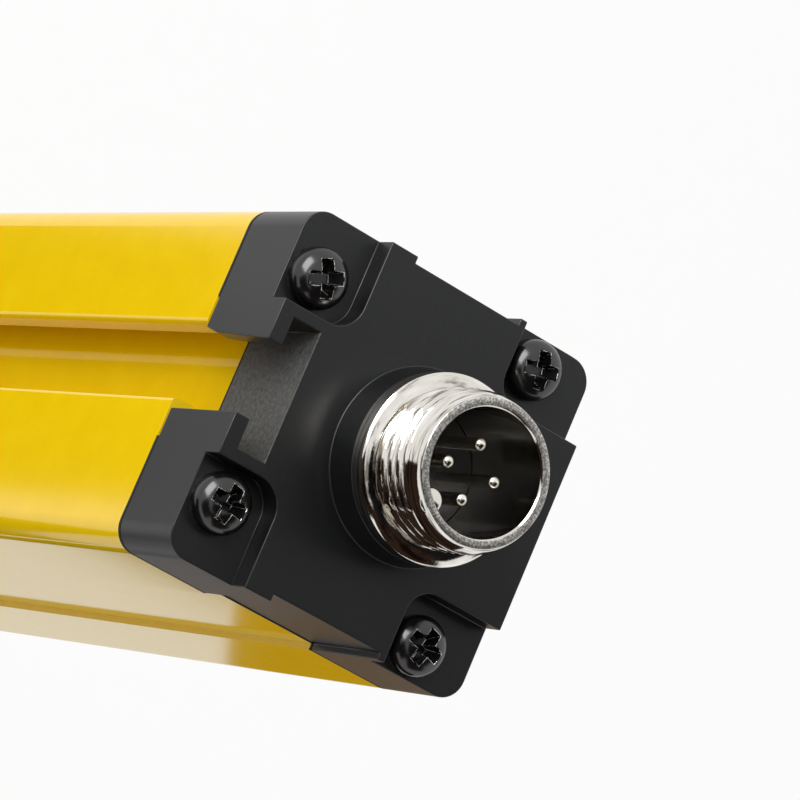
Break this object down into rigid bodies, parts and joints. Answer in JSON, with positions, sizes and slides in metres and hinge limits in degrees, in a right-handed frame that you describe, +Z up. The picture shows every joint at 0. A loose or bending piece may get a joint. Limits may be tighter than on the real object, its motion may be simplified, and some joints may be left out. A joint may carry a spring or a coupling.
{
  "type": "safety light curtain bar",
  "caption": "Square aluminium safety light curtain bar with a front window, rear T-slot, black end caps and a round keyed plug connector on one end.",
  "frame": {"origin": "middle of the underside of the blind cap", "axes": "+Z up along the bar towards the connector, +Y towards the T-slot, -Y out of the window, +X to the right seen from the T-slot side's back"},
  "size_m": [0.028, 0.028, 0.2195],
  "materials": {
    "yellow_paint": "gloss yellow powder coat on extruded aluminium",
    "black_nylon": "moulded glass-filled nylon, fine satin texture",
    "gasket_rubber": "matt black nitrile rubber",
    "black_steel": "black-plated steel screws",
    "window_acrylic": "clear acrylic window",
    "nickel_brass": "bright nickel plate on turned brass",
    "insert_nylon": "moulded black insert",
    "gold_contacts": "turned contacts, thin gold plate",
    "plated_steel": "zinc-plated steel",
    "holder_plastic": "black moulded lens strip",
    "lens_acrylic": "clear moulded acrylic lenses",
    "diode_epoxy": "tinted epoxy diodes",
    "board_laminate": "green solder-masked fibreglass board",
    "chip_plastic": "moulded chip packages",
    "capacitor_can": "drawn aluminium can",
    "ferrite": "shielded ferrite coil",
    "indicator_lens": "milky indicator lights",
    "header_nylon": "natural nylon header and plug",
    "wire_brown": "PVC insulation",
    "wire_white": "PVC insulation",
    "wire_blue": "PVC insulation",
    "wire_black": "PVC insulation"
  },
  "bodies": {
    "root": {"profile": "yellow_paint", "window_panel": "window_acrylic", "window_seal_left": "gasket_rubber", "window_seal_right": "gasket_rubber", "connector_cap": "black_nylon", "blind_cap": "black_nylon", "blind_cap_gasket": "gasket_rubber", "connector_cap_gasket": "gasket_rubber", "cap_screws": "black_steel", "connector_shell": "nickel_brass", "connector_insulator": "insert_nylon", "contact_pins": "gold_contacts", "connector_seal": "gasket_rubber", "lock_washer": "plated_steel", "connector_nut": "nickel_brass", "lens_holder": "holder_plastic", "beam_lenses": "lens_acrylic", "beam_leds": "diode_epoxy", "circuit_board": "board_laminate", "controller_chip": "chip_plastic", "driver_chips": "chip_plastic", "voltage_regulator": "chip_plastic", "power_inductor": "ferrite", "filter_capacitor": "capacitor_can", "status_leds": "indicator_lens", "wire_header": "header_nylon", "wire_plug": "header_nylon", "lead_wire_1": "wire_brown", "lead_wire_2": "wire_white", "lead_wire_3": "wire_blue", "lead_wire_4": "wire_black"}
  },
  "joints": []
}
